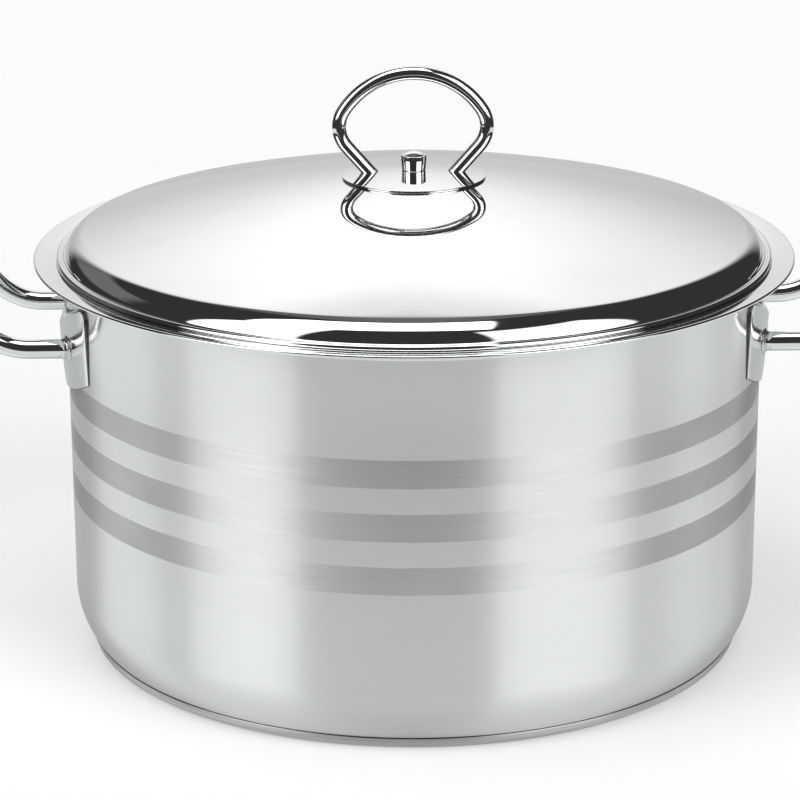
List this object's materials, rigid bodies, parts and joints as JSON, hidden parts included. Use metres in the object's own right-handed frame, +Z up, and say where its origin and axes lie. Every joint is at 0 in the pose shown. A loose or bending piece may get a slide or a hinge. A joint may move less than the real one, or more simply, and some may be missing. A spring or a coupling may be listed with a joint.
{
  "type": "water bath canner",
  "caption": "Wide polished steel stockpot with a bonded base, two rod side handles, a domed lid with a bent-rod knob, and a lift-out wire jar rack with folding handles.",
  "frame": {"origin": "centre of the base's underside, on the table", "axes": "+Z up along the pot's axis, +X through the right side handle, +Y away from the front"},
  "size_m": [0.4924, 0.3936, 0.3019],
  "materials": {
    "pot_satin": "satin wall with three matte brushed bands",
    "base_steel": "turned satin",
    "core_aluminium": "as rolled",
    "polished_steel": "mirror polished stainless steel",
    "lid_steel": "mirror polished stainless steel",
    "fixing_steel": "plain stainless steel",
    "rack_wire": "bright electropolished wire"
  },
  "bodies": {
    "pot": {"pot_shell": "pot_satin", "base_core": "core_aluminium", "base_cap": "base_steel", "left_handle_bracket": "polished_steel", "right_handle_bracket": "polished_steel", "left_handle_rod": "polished_steel", "right_handle_rod": "polished_steel"},
    "rack": {"rack_top_ring": "rack_wire", "rack_low_ring": "rack_wire", "rack_inner_rings": "rack_wire", "rack_floor_wires": "rack_wire", "rack_uprights": "rack_wire", "rack_dividers": "rack_wire", "rack_hub_ring": "rack_wire", "rack_left_hinge_eyes": "rack_wire", "rack_right_hinge_eyes": "rack_wire"},
    "lid": {"lid_shell": "lid_steel", "knob_plate": "polished_steel", "knob_loop": "polished_steel", "knob_cap_nut": "polished_steel", "knob_screw": "fixing_steel", "knob_washer": "fixing_steel"},
    "left_rack_handle": {"rack_left_handle": "rack_wire"},
    "right_rack_handle": {"rack_right_handle": "rack_wire"}
  },
  "joints": [
    {"name": "rack_lift", "type": "slide", "parent": "pot", "child": "rack", "axis": [0, 0, 1], "range_m": [0, 0.23]},
    {"name": "lid_lift", "type": "slide", "parent": "rack", "child": "lid", "axis": [0, 0, 1], "range_m": [0, 0.12]},
    {"name": "left_rack_handle_hinge", "type": "hinge", "parent": "rack", "child": "left_rack_handle", "pos_m": [-0.13915, 0, 0.08702], "axis": [0, -1, 0], "range_deg": [0, 90]},
    {"name": "right_rack_handle_hinge", "type": "hinge", "parent": "rack", "child": "right_rack_handle", "pos_m": [0.13915, 0, 0.08702], "axis": [0, 1, 0], "range_deg": [0, 90]}
  ]
}
